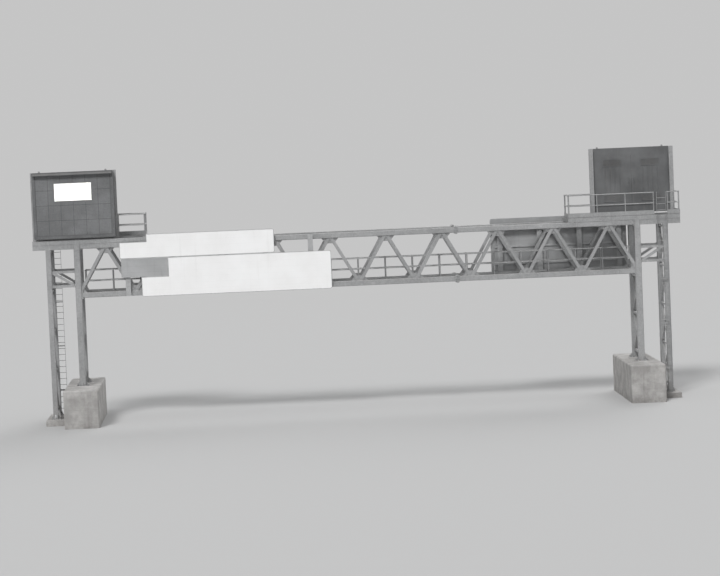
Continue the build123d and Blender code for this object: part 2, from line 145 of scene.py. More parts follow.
def tubes(starts, ends, radius, sides):
    # round bars: a unit cylinder whose z is the run and whose x and y are square to it
    starts, ends = (np.asarray(corner, float).reshape(-1, 3) for corner in (starts, ends))
    run = ends - starts
    axes = facing(run / np.linalg.norm(run, axis=1)[:, None])
    axes[:, :2] *= radius
    axes[:, 2] = run
    return repeated(revolved([(1, 0), (1, 1)], sides), starts, axes)


def spread(first, last, pitch):
    # evenly spaced values from first to last, about this pitch apart
    return np.linspace(first, last, max(1, round(abs(last - first) / pitch)) + 1)


def gridOf(*ranges):
    # every combination of these values, one row each
    return np.stack(np.meshgrid(*ranges, indexing="ij"), axis=-1).reshape(-1, len(ranges))


def square(x, y, middle=(0, 0)):
    # the four corners of a rectangle with these half sides
    return gridOf((-x, x), (-y, y)) + middle


def nodeBox(name):
    low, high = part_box(name)
    return np.array(low), np.array(high)


def addPiece(name, form, finish, slotName, roundUnder=0.0, replaces=()):
    # a mesh object from a form; edges that turn less than roundUnder degrees are shaded round
    mesh = bpy.data.meshes.new(name)
    mesh.from_pydata(form.points.tolist(), [], [face for group in form.faces for face in group.tolist()])
    mesh.materials.append(finish)
    if roundUnder:
        mesh.shade_smooth()
        mesh.set_sharp_from_angle(angle=math.radians(roundUnder))
    piece = bpy.data.objects.new(name, mesh)
    bpy.context.scene.collection.objects.link(piece)
    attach(piece, "root")
    if replaces:
        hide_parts(*replaces)


def addTowerPiece(name, form, finish, slotName, roundUnder=0.0, replaces=None):
    # the left tower's piece, and the same piece turned for the right tower
    for side, sideForm in (("left", form), ("right", form.turned())):
        stoodFor = (f"{side}_{replaces}",) if replaces else ()
        addPiece(f"{side}_{name}", sideForm, finish, slotName, roundUnder, stoodFor)


def addBolts(name, form, add=addPiece):
    # bolts and screws, for one place or with addTowerPiece for both towers
    add(name, form, fasteners, "galvanised_steel", boltRoundUnder)


def addTowerSteel(names, forms, roundUnder=0.0, replaces=None):
    # a tower's galvanised piece, and the bolts that go with it
    addTowerPiece(names[0], forms[0], steel, "galvanised_steel", roundUnder, replaces)
    addBolts(names[1], forms[1], addTowerPiece)


# Finishes: materials written as expressions on sockets

class Wire:  # one output socket; arithmetic on wires and numbers adds Math nodes
    def __init__(self, finish, socket):
        self.finish, self.socket = finish, socket

    def maths(self, operation, *values):
        return self.finish.node("ShaderNodeMath", {"operation": operation}, values)

    def __add__(self, other):
        return self.maths("ADD", self, other)

    def __sub__(self, other):
        return self.maths("SUBTRACT", self, other)

    def __rsub__(self, other):
        return self.maths("SUBTRACT", other, self)

    def __mul__(self, other):
        return self.maths("MULTIPLY", self, other)

    def __mod__(self, other):
        return self.maths("FLOORED_MODULO", self, other)

    def __gt__(self, other):
        return self.maths("GREATER_THAN", self, other)

    def __abs__(self):
        return self.maths("ABSOLUTE", self)

    __radd__ = __add__
    __rmul__ = __mul__

    def greatest(self, other):
        return self.maths("MAXIMUM", self, other)

    def eased(self, low, high):  # 0 below low, 1 above high and a smooth step between
        return self.finish.node(
            "ShaderNodeMapRange", {"interpolation_type": "SMOOTHSTEP"},
            {"Value": self, "From Min": low, "From Max": high},
        )


class Finish:  # a material or the world; node() adds a node with its settings and its sockets' values
    def __init__(self, name, holder=None):
        self.holder = holder or bpy.data.materials.new(name)
        self.holder.use_nodes = True
        self.tree = self.holder.node_tree
        self.tree.nodes.clear()

    def node(self, kind, settings=None, inputs=(), output=0):
        made = self.tree.nodes.new(kind)
        for key, value in (settings or {}).items():
            setattr(made, key, value)
        for key, value in inputs.items() if isinstance(inputs, dict) else enumerate(inputs):
            if isinstance(value, Wire):
                self.tree.links.new(value.socket, made.inputs[key])
            else:
                made.inputs[key].default_value = value
        return Wire(self, made.outputs[output])

    @cached_property
    def place(self):  # the point on the object
        return self.node("ShaderNodeTexCoord", output="Object")

    @cached_property
    def up(self):  # how far the surface faces up
        return self.parts(self.node("ShaderNodeNewGeometry", output="Normal"))[2]

    def parts(self, vector):
        split = self.node("ShaderNodeSeparateXYZ", {}, (vector,)).socket.node
        return [Wire(self, socket) for socket in split.outputs]

    def noise(self, scale, detail=3.0, rough=0.55):  # three scales draw it out along x, y and z
        values = {"Vector": self.place, "Scale": scale, "Detail": detail, "Roughness": rough}
        if isinstance(scale, tuple):
            drawn = {"Vector": self.place, "Scale": scale}
            values["Vector"] = self.node("ShaderNodeMapping", {"vector_type": "POINT"}, drawn)
            values["Scale"] = 1.0
        return self.node("ShaderNodeTexNoise", {}, values)

    def cells(self, scale):  # an even tone for each crystal, lamp or glass bead
        values = {"Vector": self.place, "Scale": scale}
        return self.parts(self.node("ShaderNodeTexVoronoi", {}, values, "Color"))[0]

    def blended(self, factor, first, second):
        return self.node("ShaderNodeMix", {"data_type": "RGBA"}, {0: factor, 6: first, 7: second}, 2)

    def coated(self, colour, *coats):  # lays coats of (share, colour) over a colour, one after the other
        for share, coat in coats:
            colour = self.blended(share, colour, coat)
        return colour

    def relief(self, height, strength, distance):
        values = {"Strength": strength, "Distance": distance, "Height": height}
        return self.node("ShaderNodeBump", {}, values)

    def seen(self):  # 1 where the camera looks, also by way of gloss or glass
        path = self.node("ShaderNodeLightPath").socket.node
        names = ("Is Camera Ray", "Is Glossy Ray", "Is Transmission Ray")
        camera, glossy, clear = (Wire(self, path.outputs[name]) for name in names)
        return camera.greatest(glossy).greatest(clear)

    def closed(self, shader, kind="ShaderNodeOutputMaterial"):  # joins the shader to the output
        end = self.tree.nodes.new(kind)
        self.tree.links.new(shader.socket, end.inputs["Surface"])
        return self.holder

    def surface(self, sockets):
        return self.closed(self.node("ShaderNodeBsdfPrincipled", {}, sockets))


def grey(level, warmth=0.0):
    # a grey whose red is raised and blue lowered by warmth
    return (level * (1 + warmth), level, level * (1 - warmth), 1.0)


steelLook = {
    "dark": 0.255, "pale": 0.52, "metallic": 0.60, "roughness": 0.40, "patches": 0.6, "mottle": 8.5,
    "crystals": 46.0, "grain": 210.0, "runs": (10.0, 10.0, 0.45), "splash": (0.3, 3.2), "bloomShare": 0.30,
    "runShare": 0.26, "dulled": 0.0, "grimeShare": 0.50, "dirtShare": 0.30,
}
treadLook = {**steelLook, "dark": 0.21, "pale": 0.40, "dulled": 0.06}


def galvanisedSteel(name, look):
    # zinc crystals and fine grain over broad weather patches, pale bloom, rain runs down the sides,
    # grime on what faces up and road dirt that fades out with height
    finish = Finish(name)
    height = finish.parts(finish.place)[2]
    side = 1 - abs(finish.up).eased(0.5, 0.9)
    patches = finish.noise(look["patches"], 4.0, 0.55).eased(0.32, 0.68)
    mottle = finish.noise(look["mottle"], 6.0, 0.64).eased(0.30, 0.70)
    crystals = finish.cells(look["crystals"])
    grain = finish.noise(look["grain"], 2.0).eased(0.3, 0.7)
    bloom = finish.noise(2.7, 6.0, 0.70).eased(0.56, 0.72)
    runs = finish.noise(look["runs"], 5.0, 0.62).eased(0.50, 0.78) * side
    grime = finish.up.eased(0.2, 0.95) * finish.noise(3.0, 4.0, 0.6).eased(0.30, 0.75)
    dirt = (1 - height.eased(*look["splash"])) * mottle.eased(0.1, 0.9)
    tone = patches * 0.26 + mottle * 0.18 + crystals * 0.38 + grain * 0.18
    matt = bloom * 0.5 + runs * 0.4 + grime + dirt * 0.8
    return finish.surface({
        "Base Color": finish.coated(
            finish.blended(tone, grey(look["dark"], -0.012), grey(look["pale"], -0.006)),
            (bloom * look["bloomShare"], grey(look["pale"] * 1.12)),
            (runs * look["runShare"] + look["dulled"], grey(look["dark"] * 0.66, 0.03)),
            (grime * look["grimeShare"], grey(0.22, 0.08)), (dirt * look["dirtShare"], grey(0.20, 0.08)),
        ),
        "Roughness": look["roughness"] + (1 - crystals) * 0.12 + matt * 0.18,
        "Metallic": (look["metallic"] - matt * 0.30).greatest(0.05),
        "Normal": finish.relief(finish.noise(17.0, 2.0) + grain * 0.10, 0.35, 0.0012),
    })


concreteLook = {
    "dark": 0.31, "pale": 0.49, "board": 0.150, "lift": 1.20, "pour": 0.90, "splash": (0.02, 0.45),
    "streaks": (5.0, 5.0, 0.35), "streakShare": 0.42, "splashShare": 0.55,
}


def castConcrete(name, look):
    # board-marked concrete: level board edges and a pour joint in z, upright sheet edges in y,
    # pores, rain streaks and a splashed foot
    finish = Finish(name)
    y, z = finish.parts(finish.place)[1:]
    side = 1 - finish.up.eased(0.4, 0.9)
    fine = finish.noise(28.0, 4.0, 0.6)
    pores = finish.noise(60.0, 2.0, 0.5).eased(0.66, 0.74)
    boardEdge = 1 - abs((z % look["board"]) - look["board"] / 2).eased(0.0, 0.006)
    sheetEdge = 1 - abs((y % look["lift"]) - look["lift"] / 2).eased(0.0, 0.008)
    sheetEdge = sheetEdge * (1 - finish.up.eased(0.5, 0.9))
    pourEdge = 1 - abs(z - look["pour"]).eased(0.0, 0.010)
    streaks = finish.noise(look["streaks"], 5.0, 0.6).eased(0.50, 0.78)
    splash = (1 - z.eased(*look["splash"])) * finish.noise(5.0, 4.0).eased(0.25, 0.75)
    mottle = finish.noise(1.6, 6.0, 0.62).eased(0.32, 0.70)
    marks = (boardEdge * 0.5 + sheetEdge * 1.0 + pourEdge * 1.2) * side
    return finish.surface({
        "Base Color": finish.coated(
            finish.blended(mottle, grey(look["dark"], 0.03), grey(look["pale"], 0.025)),
            (fine.eased(0.35, 0.75) * 0.30, grey(look["dark"] * 0.85, 0.03)),
            ((boardEdge * 0.30 + sheetEdge * 0.45 + pourEdge * 0.50) * side, grey(0.20, 0.04)),
            (streaks * side * look["streakShare"], grey(0.17, 0.05)),
            (splash * look["splashShare"], grey(0.15, 0.07)), (pores * 0.6, grey(0.13, 0.04)),
        ),
        "Roughness": 0.84 + fine * 0.12 - splash * 0.10,
        "Normal": finish.relief(fine * 0.35 - pores * 0.9 - marks, 0.55, 0.010),
    })


paintLook = {"dark": 0.098, "pale": 0.158, "roughness": 0.46, "runs": (6.0, 6.0, 0.30), "dust": 0.32}


def casingPaint(name, look):
    # dark powder coat: orange peel, chalky fading, dust that lies on top and runs down the sides
    finish = Finish(name)
    fade = finish.noise(0.8, 4.0, 0.55).eased(0.30, 0.72)
    runs = finish.noise(look["runs"], 4.0, 0.6).eased(0.54, 0.80)
    dust = finish.up.eased(0.1, 0.9) * finish.noise(4.0, 4.0).eased(0.2, 0.7)
    return finish.surface({
        "Base Color": finish.coated(
            finish.blended(fade, grey(look["dark"], -0.02), grey(look["pale"], -0.02)),
            (runs * 0.35, grey(0.21, 0.03)), (dust * look["dust"], grey(0.24, 0.05)),
        ),
        "Roughness": look["roughness"] + fade * 0.14 + runs * 0.14 + dust * 0.25,
        "Coat Weight": 0.12 - dust * 0.10,
        "Coat Roughness": 0.25,
        "Normal": finish.relief(finish.noise(170.0, 1.0), 0.10, 0.002),
    })


faceLook = {
    "tone": 0.180, "joint": 0.045, "columns": 6, "rows": 4, "jointHalf": 0.006, "runs": (7.0, 7.0, 0.4),
}


def lampPanel(name, look, low, high):
    # matt panels between narrow joints, counted off from the left sign's inner and lower edges
    finish = Finish(name)
    x, _, z = finish.parts(finish.place)
    wide, tall = (high[0] - low[0]) / look["columns"], (high[2] - low[2]) / look["rows"]
    across = abs(((abs(x) + high[0]) % wide) - wide / 2)
    upwards = abs(((z - low[2]) % tall) - tall / 2)
    joint = (across > wide / 2 - look["jointHalf"]).greatest(upwards > tall / 2 - look["jointHalf"])
    cloud = finish.noise(1.1, 4.0).eased(0.3, 0.7)
    runs = finish.noise(look["runs"], 4.0, 0.6).eased(0.54, 0.80)
    return finish.surface({
        "Base Color": finish.coated(
            finish.blended(cloud, grey(look["tone"] * 0.82, -0.02), grey(look["tone"] * 1.12, -0.02)),
            (runs * 0.30, grey(0.24, 0.02)), (joint, grey(look["joint"])),
        ),
        "Roughness": 0.58 + cloud * 0.12 + runs * 0.10,
        "Normal": finish.relief(finish.noise(120.0, 2.0) * 0.3 - joint, 0.35, 0.003),
    })


displayLook = {"panel": 0.045, "paintedPanelGlow": 0.12, "lampGlow": 3.0}


def litPanel(name, look):
    # black printed board between the lit lamps, with a faint painted glow that stands for the little of their
    # light it catches
    finish = Finish(name)
    glow = finish.noise(9.0, 2.0).eased(0.2, 0.8)
    return finish.surface({
        "Base Color": grey(look["panel"]), "Roughness": 0.5 + glow * 0.1,
        # the painted glow, a little brighter in patches
        "Emission Color": finish.blended(glow, grey(0.8, 0.02), grey(1.0, 0.01)),
        "Emission Strength": look["paintedPanelGlow"],
    })


def litLamp(name, look):
    # each lit lamp a little warmer or cooler than its neighbours
    finish = Finish(name)
    tone = finish.cells(22.0)
    return finish.surface({
        "Base Color": grey(0.6), "Roughness": 0.20 + tone * 0.1,
        "Emission Color": finish.blended(tone, (1.0, 0.97, 0.90, 1.0), (0.97, 0.99, 1.0, 1.0)),
        "Emission Strength": look["lampGlow"],
    })


def darkLens(name):
    # unlit lamp: smoky acrylic, each lamp's tone a little different
    finish = Finish(name)
    tone = finish.cells(15.0)
    return finish.surface({
        "Base Color": finish.blended(tone, grey(0.10, -0.03), grey(0.20, -0.02)),
        "Roughness": 0.18 + tone * 0.12, "Coat Weight": 0.4 + tone * 0.2, "Coat Roughness": 0.08,
    })


boardLook = {
    "plank": 0.300, "faceAt": 1.4745, "white": 0.91, "seam": 0.0035, "runs": (5.0, 5.0, 0.30),
    "brushed": (1.2, 40.0, 130.0), "metal": 0.40, "dull": (0.30, -0.01), "bright": (0.44, -0.01),
}
plateLook = {**boardLook, "metal": 0.10, "dull": (0.34, -0.01), "bright": (0.46, -0.01)}


def boardFinish(name, look, sheeted):
    # mill aluminium whose planks show as fine level joints, with dirt that runs down from them, and
    # white reflective sheeting on the face that stands furthest from the beam
    finish = Finish(name)
    y, z = finish.parts(finish.place)[1:]
    seam = 1 - abs((z % look["plank"]) - look["plank"] / 2).eased(0.0, look["seam"])
    cloud = finish.noise(0.9, 4.0, 0.55).eased(0.30, 0.72)
    runs = finish.noise(look["runs"], 5.0, 0.6).eased(0.55, 0.82)
    brushed = finish.noise(look["brushed"], 3.0, 0.6)
    bare = finish.coated(
        finish.blended(cloud * 0.6 + brushed * 0.4, grey(*look["dull"]), grey(*look["bright"])),
        (runs * 0.45, grey(0.19, 0.04)), (seam * 0.55, grey(0.12)),
    )
    sockets = {
        "Base Color": bare, "Roughness": 0.52 + brushed * 0.14 + runs * 0.15, "Metallic": look["metal"],
        "Normal": finish.relief(brushed * 0.15 - seam * 0.8, 0.25, 0.003),
    }
    if sheeted:
        onFace = abs(y) > look["faceAt"]
        white = finish.coated(
            finish.blended(cloud, grey(look["white"] * 0.95, 0.004), grey(look["white"])),
            (runs * 0.16, grey(0.50, 0.03)), (seam * 0.22, grey(0.42, 0.01)),
        )
        whiteRough = 0.40 + finish.cells(38.0) * 0.10 + runs * 0.20
        sockets["Base Color"] = finish.blended(onFace, bare, white)
        sockets["Roughness"] = sockets["Roughness"] * (1 - onFace) + whiteRough * onFace
        sockets["Metallic"] = (1 - onFace) * look["metal"]
    return finish.surface(sockets)


railLook = {"tone": 0.46, "lines": (1.0, 60.0, 60.0)}


def drawnAluminium(name, look):
    # extruded rails: die lines along x, dull oxide patches
    finish = Finish(name)
    lines = finish.noise(look["lines"], 3.0, 0.6)
    oxide = finish.noise(5.0, 4.0, 0.6).eased(0.45, 0.75)
    tone = look["tone"]
    return finish.surface({
        "Base Color": finish.coated(
            finish.blended(lines, grey(tone * 0.82, -0.01), grey(tone * 1.12, -0.01)),
            (oxide * 0.5, grey(tone * 0.62, 0.01)),
        ),
        "Roughness": 0.48 + lines * 0.12 + oxide * 0.16,
        "Metallic": 0.50 - oxide * 0.25,
        "Normal": finish.relief(lines, 0.10, 0.002),
    })


fastenerLook = {"dark": 0.26, "pale": 0.44, "rust": (0.20, 0.085, 0.035, 1.0), "rustShare": 0.75}


def fastenerSteel(name, look):
    # plated bolts with rust that starts at some of them
    finish = Finish(name)
    wear = finish.noise(26.0, 4.0, 0.6)
    rust = finish.noise(2.3, 5.0, 0.65).eased(0.52, 0.68) * wear.eased(0.35, 0.60)
    return finish.surface({
        "Base Color": finish.coated(
            finish.blended(wear.eased(0.3, 0.7), grey(look["dark"], -0.01), grey(look["pale"], -0.01)),
            (rust * look["rustShare"], look["rust"]),
        ),
        "Roughness": 0.42 + wear * 0.15 + rust * 0.30,
        "Metallic": 0.80 - rust * 0.60,
        "Normal": finish.relief(wear + rust, 0.25, 0.002),
    })


def darkRubber(name):
    # black rubber with pale dust in patches
    finish = Finish(name)
    dust = finish.noise(9.0, 4.0, 0.6).eased(0.35, 0.75)
    return finish.surface({
        "Base Color": finish.blended(dust, grey(0.025), grey(0.070, 0.04)),
        "Roughness": 0.62 + dust * 0.20,
        "Normal": finish.relief(dust, 0.15, 0.001),
    })


faceLow, faceHigh = nodeBox("left_message_face")
steel = galvanisedSteel("galvanisedSteel", steelLook)
treadSteel = galvanisedSteel("treadSteel", treadLook)
concrete = castConcrete("castConcrete", concreteLook)
paint = casingPaint("casingPaint", paintLook)
panel = lampPanel("lampPanel", faceLook, faceLow, faceHigh)
# the display's black board, whose faint glow is painted light
paintedGlowBoard = litPanel("litPanel", displayLook)
lens = darkLens("darkLens")
glowingLens = litLamp("litLamp", displayLook)
sheeting = boardFinish("boardSheeting", boardLook, sheeted=True)
greySheet = boardFinish("greySheet", plateLook, sheeted=False)
aluminium = drawnAluminium("drawnAluminium", railLook)
fasteners = fastenerSteel("fastenerSteel", fastenerLook)
rubber = darkRubber("darkRubber")

finishOfSlot = {
    "galvanised_steel": steel, "steel_grating": treadSteel, "concrete": concrete,
    "dark_casing": paint, "black_face": panel, "lit_display": paintedGlowBoard,
    "white_board": sheeting, "grey_board": sheeting, "aluminium_rail": aluminium,
}
finishOfNode = {"blank_plate": greySheet}
slotOfNode = {part["node"]: part["material_slot"] for part in frame["record"]["subparts"]}
for nodeName, node in nodes.items():
    node.data.materials.clear()
    node.data.materials.append(finishOfNode.get(nodeName) or finishOfSlot[slotOfNode[nodeName]])
print("finishes made,", len(bpy.data.materials), "materials")


# Fasteners

boltSizes = {
    "washer": 0.034, "washerHeight": 0.005, "nut": 0.026, "nutHeight": 0.026,
    "stud": 0.015, "studRise": 0.055,
}
boltRoundUnder = 35


def bolt(scale=1.0, stud=True):
    # washer, six-sided nut with a narrower crown, and the stud's end, all rings about z
    size = {key: value * scale for key, value in boltSizes.items()}
    base, crown, nut = size["washerHeight"], size["nutHeight"], size["nut"]
    washer = revolved([(size["washer"], 0), (size["washer"], base)], 10)
    head = revolved([(nut, base), (nut, crown * 0.85), (nut * 0.84, crown)], 6)
    end = revolved([(size["stud"], crown), (size["stud"], size["studRise"])], 8)
    return joined(washer, head, end) if stud else joined(washer, head)


def boltsOn(axis, level, flat, scale=1.0, way=1, stud=True):
    # bolts that stand out along an axis at this level; flat holds their other two coordinates
    places = np.insert(np.asarray(flat, float), axis, level, axis=1)
    turn = None if axis == 2 else facing(np.eye(3)[axis] * way)
    return repeated(bolt(scale, stud), places, turn)


# where the chords run: a truss is as wide as its splice flanges, and the back one mirrors the front one
trussLow, trussHigh = nodeBox("front_truss")
flange = (trussHigh[1] - trussLow[1]) / 2
chordLines = (trussLow[1] + flange, -trussLow[1] - flange)
chordLevels = (trussLow[2] + flange, trussHigh[2] - flange)

shoeValues = {
    "plate": 0.040, "mainEdge": 0.060, "mainInner": 0.120, "outerEdge": 0.045, "mainScale": 1.25,
    "outerScale": 1.0, "mortar": (0.045, 0.002), "mortarRise": 0.028,
}


def footFixings(plate, mainEdge, mainInner, outerEdge, mainScale, outerScale, mortar, mortarRise):
    # anchor bolts round each shoe, four at its corners and eight more beside a main shoe's ribs, and
    # under it a low frustum of mortar whose top is just wider than the plate
    legLow, legHigh = nodeBox("left_front_leg")
    postLow, postHigh = nodeBox("left_outer_frame")
    leg, post = (legHigh[0] - legLow[0]) / 2, (postHigh[0] - postLow[0]) / 2
    edge, corner = leg - mainEdge, post - outerEdge
    around = np.vstack([square(edge, edge), square(edge, mainInner), square(mainInner, edge)])
    legX, legY = (legLow[:2] + legHigh[:2]) / 2
    shoes = [(legX, y, legLow[2], leg, around, mainScale) for y in (legY, -legY)] + [
        (postLow[0] + post, y, postLow[2], post, square(corner, corner), outerScale)
        for y in (postLow[1] + post, postHigh[1] - post)
    ]
    pairs = []
    for x, y, z, half, pattern, scale in shoes:
        bed = skinned([
            np.insert((squareRing * 2 - 1) * (half + wider) + (x, y), 2, z + rise, axis=1)
            for wider, rise in zip(mortar, (0, mortarRise))
        ])
        pairs.append((boltsOn(2, z + plate, pattern + (x, y), scale), bed))
    return joinedPairs(pairs)


anchors, groutBeds = footFixings(**shoeValues)
addBolts("anchor_bolts", anchors, addTowerPiece)
addTowerPiece("grout_beds", groutBeds, concrete, "concrete")

spliceValues = {"line": 4.830, "half": 0.040, "reach": 0.155, "scale": 0.95, "packing": (0.008, 0.384, 0.384)}


def spliceFixings(line, half, reach, scale, packing):
    # eight bolts through each pair of flanges, nuts on both sides, and the packing between the flanges
    ring = gridOf((-reach, 0, reach), (-reach, 0, reach))
    ring = ring[np.abs(ring).max(axis=1) > 0]
    middles = gridOf((-line, line), chordLines, chordLevels)
    nuts = [boltsOn(0, x + way * half, ring + (y, z), scale, way) for x, y, z in middles for way in (-1, 1)]
    return joined(*nuts), slab(middles, packing)


spliceNuts, splicePacks = spliceFixings(**spliceValues)
addBolts("splice_bolts", spliceNuts)
addPiece("splice_packing", splicePacks, rubber, "galvanised_steel")
print("fasteners of the feet and the splices made")


# Gratings

walkwayPanels = {
    "panel": 2.76, "gap": 0.003, "band": 0.006, "barPitch": 0.041, "barWidth": 0.005,
    "rodPitch": 0.100, "rodSize": 0.007, "rodDrop": 0.002,
}
platformPanels = {**walkwayPanels, "panel": 1.38}


def grating(low, high, along, panel, gap, band, barPitch, barWidth, rodPitch, rodSize, rodDrop):
    # bearing bars along one axis, cross rods let into their tops, and a band round each panel
    rodTop = high[2] - rodDrop
    rows = (
        (1 - along, barPitch, barWidth, (low[2], high[2])),
        (along, rodPitch, rodSize, (rodTop - rodSize, rodTop)),
    )
    breaks = spread(low[0], high[0], panel)
    pieces = []
    for start, end in zip(breaks, breaks[1:]):
        near, far = np.array((start + gap, *low[1:])), np.array((end - gap, *high[1:]))
        for axis, pitch, width, levels in rows:
            lines = spread(near[axis] + band, far[axis] - band, pitch)[1:-1]
            starts, ends = np.tile(near, (len(lines), 1)), np.tile(far, (len(lines), 1))
            starts[:, axis], ends[:, axis] = lines - width / 2, lines + width / 2
            starts[:, 2], ends[:, 2] = levels
            pieces.append(boxes(starts, ends))
        for axis in (0, 1):
            for edge, inwards in ((near, band), (far, -band)):
                corner, opposite = near.copy(), far.copy()
                corner[axis], opposite[axis] = edge[axis], edge[axis] + inwards
                pieces.append(boxes(corner, opposite))
    return joined(*pieces)


walkLow, walkHigh = nodeBox("walkway_deck")
deckLow, deckHigh = nodeBox("left_platform_deck")
walkGrating = grating(walkLow, walkHigh, 0, **walkwayPanels)
deckGrating = grating(deckLow, deckHigh, 1, **platformPanels)
addPiece("walkway_grating", walkGrating, treadSteel, "steel_grating", replaces=("walkway_deck",))
addTowerPiece("platform_grating", deckGrating, treadSteel, "steel_grating", replaces="platform_deck")
print("gratings made")


# Guard rails

railValues = {
    "radius": 0.0242, "sides": 14, "height": 1.100, "post": 0.050, "pitch": 1.380, "ball": 0.037,
    "ballCut": 75, "foot": (0.120, 0.044, 0.010), "footEdge": 0.018, "scale": 0.42,
}
railRoundUnder = 40


def railRun(start, end, floor, radius, sides, height, post, pitch, ball, ballCut, foot, footEdge, scale):
    # round posts on foot plates, two round rails, and a ball where they cross: its radius and height
    # follow half a circle, cut flat near the poles
    start, end = np.array((*start, floor), float), np.array((*end, floor), float)
    length = np.linalg.norm(end - start)
    way, rise = (end - start) / length, np.array((0, 0, 1.0))
    feet = start + way * spread(post / 2, length - post / 2, pitch)[:, None]
    levels = [rise * height / 2, rise * (height - radius)]
    posts = tubes(feet, feet + levels[1], radius, sides)
    rails = tubes(start + levels, end + levels, radius, sides)
    angles = np.radians(np.linspace(-ballCut, ballCut, 6))
    fitting = revolved(np.column_stack([np.cos(angles), np.sin(angles)]) * ball, 10)
    balls = repeated(fitting, np.concatenate([feet + level for level in levels]))
    wide, _, thick = foot
    plates = repeated(slab((0, 0, thick / 2), foot), feet, [way, np.cross(rise, way), rise])
    reach = way * (wide / 2 - footEdge)
    bolts = repeated(bolt(scale), np.concatenate([feet - reach, feet + reach]) + rise * thick)
    return joined(posts, rails, balls, plates), bolts


def railRuns(runs, floor):
    # every run's rails as one form, and their bolts as another
    return joinedPairs([railRun(start, end, floor, **railValues) for start, end in runs])


railLow, railHigh = nodeBox("walkway_rails")
walkEdge = walkHigh[1] - railValues["post"] / 2
walkRuns = [((railLow[0], y), (railHigh[0], y)) for y in (-walkEdge, walkEdge)]
walkRails, walkBolts = railRuns(walkRuns, railLow[2])
addPiece("walkway_tube_rails", walkRails, steel, "galvanised_steel", railRoundUnder, ("walkway_rails",))
addBolts("walkway_rail_bolts", walkBolts)

platformValues = {"gate": 0.640, "toe": 0.200, "thick": 0.008}


def platformRails(gate, toe, thick):
    # the runs round the platform, open at the ladder, and the toe boards along its edges
    (left, near, floor), (right, far) = (deckLow[0], deckLow[1], deckHigh[2]), deckHigh[:2]
    ladderLow, ladderHigh = nodeBox("left_ladder")
    gateStart, gateEnd = (ladderLow[0] + ladderHigh[0] + np.array((-1, 1)) * gate) / 2
    signEnd = nodeBox("left_message_posts")[1][0]
    inset = railValues["post"] / 2 + thick
    outer, front, inner, back = left + inset, near + inset, right - inset, far - inset
    rails, bolts = railRuns([
        ((outer, front), (outer, back)), ((outer, back), (gateStart, back)), ((gateEnd, back), (inner, back)),
        ((inner, back), (inner, front)), ((inner, front), (signEnd, front)),
    ], floor)
    toes = np.array([
        (left, far, gateStart, far - thick), (gateEnd, far, right, far - thick),
        (left, near, left + thick, far), (right, near, right - thick, far),
    ])
    starts, ends = np.insert(toes[:, :2], 2, floor, axis=1), np.insert(toes[:, 2:], 2, floor + toe, axis=1)
    return joined(rails, boxes(starts, ends)), bolts


platformNames = ("platform_tube_rails", "platform_rail_bolts")
addTowerSteel(platformNames, platformRails(**platformValues), railRoundUnder, "guard_rail")
print("guard rails made")


# Message signs

lampValues = {
    "counts": (9 * faceLook["columns"], 11 * faceLook["rows"]), "radius": 0.0125, "rise": 0.010,
    "around": 0.045,
}
litValues = {"counts": (40, 19), "radius": 0.0150, "rise": 0.009}


def lampGrid(low, high, counts, radius, rise, window=None, around=0.0):
    # six-sided lamps with a bevelled lens, each in the middle of its step, left out round the window
    x, z = (
        low[axis] + (high[axis] - low[axis]) * (np.arange(count) + 0.5) / count
        for axis, count in zip((0, 2), counts)
    )
    places = gridOf(x, (low[1],), z)
    if window:
        past = np.maximum(window[0] - places, places - window[1])[:, ::2]
        places = places[(past > around).any(axis=1)]
    lamp = revolved([(radius, 0), (radius, rise * 0.5), (radius * 0.6, rise)], 6)
    return repeated(lamp, places, facing((0, -1, 0)))


window = nodeBox("left_message_display")
unlitLamps = lampGrid(faceLow, faceHigh, **lampValues, window=window)
litLamps = lampGrid(*window, **litValues)
addTowerPiece("unlit_lamps", unlitLamps, lens, "black_face", roundUnder=50)
addTowerPiece("lit_lamps", litLamps, glowingLens, "lit_display", roundUnder=50)


casingValues = {
    "bezel": 0.153, "frontDepth": 0.030, "depth": 0.700, "strips": 2, "stripWidth": 0.050, "stripRise": 0.004,
    "stripStart": 0.050, "stripEnd": 0.060, "hoodDrop": 0.060, "brackets": 5, "bracketEnd": 0.120,
    "bracket": [(-0.150, -0.078), (0, -0.150), (0, 0)], "bracketThick": 0.010,
    "screwPitch": 0.300, "screw": [(0.011, 0), (0.011, 0.003), (0.006, 0.006)],
}


def casingTrim(
    bezel, frontDepth, depth, strips, stripWidth, stripRise, stripStart, stripEnd,
    hoodDrop, brackets, bracketEnd, bracket, bracketThick, screwPitch, screw,
):
    # cover strips over the housing's joints, brackets under the hood and screws round the bezel
    (left, _, bottom), (right, _, top) = faceLow - bezel, faceHigh + bezel
    front, wide = faceLow[1] - frontDepth, stripWidth / 2
    start, middle, back = front + stripStart, front + depth / 2, front + depth
    foot, head = bottom + stripEnd, top - stripEnd
    metal = [
        boxes((x - wide, start, z - stripRise), (x + wide, back, z + stripRise))
        for x in np.linspace(left, right, strips + 2)[1:-1] for z in (bottom, top)
    ] + [
        boxes((x - stripRise, middle - wide, foot), (x + stripRise, middle + wide, head))
        for x in (left, right)
    ] + [
        extruded(bracket, (x - bracketThick / 2, front, top - hoodDrop), 0, bracketThick)
        for x in np.linspace(left + bracketEnd, right - bracketEnd, brackets)
    ]
    xs = spread(left + bezel / 2, right - bezel / 2, screwPitch)
    zs = spread(bottom + bezel / 2, top - bezel / 2, screwPitch)
    places = np.vstack([gridOf(xs, (front,), zs[[0, -1]]), gridOf(xs[[0, -1]], (front,), zs[1:-1])])
    return joined(*metal), repeated(revolved(screw, 8), places, facing((0, -1, 0)))


trim, screws = casingTrim(**casingValues)
addTowerPiece("casing_trim", trim, paint, "dark_casing")
addBolts("casing_screws", screws, addTowerPiece)


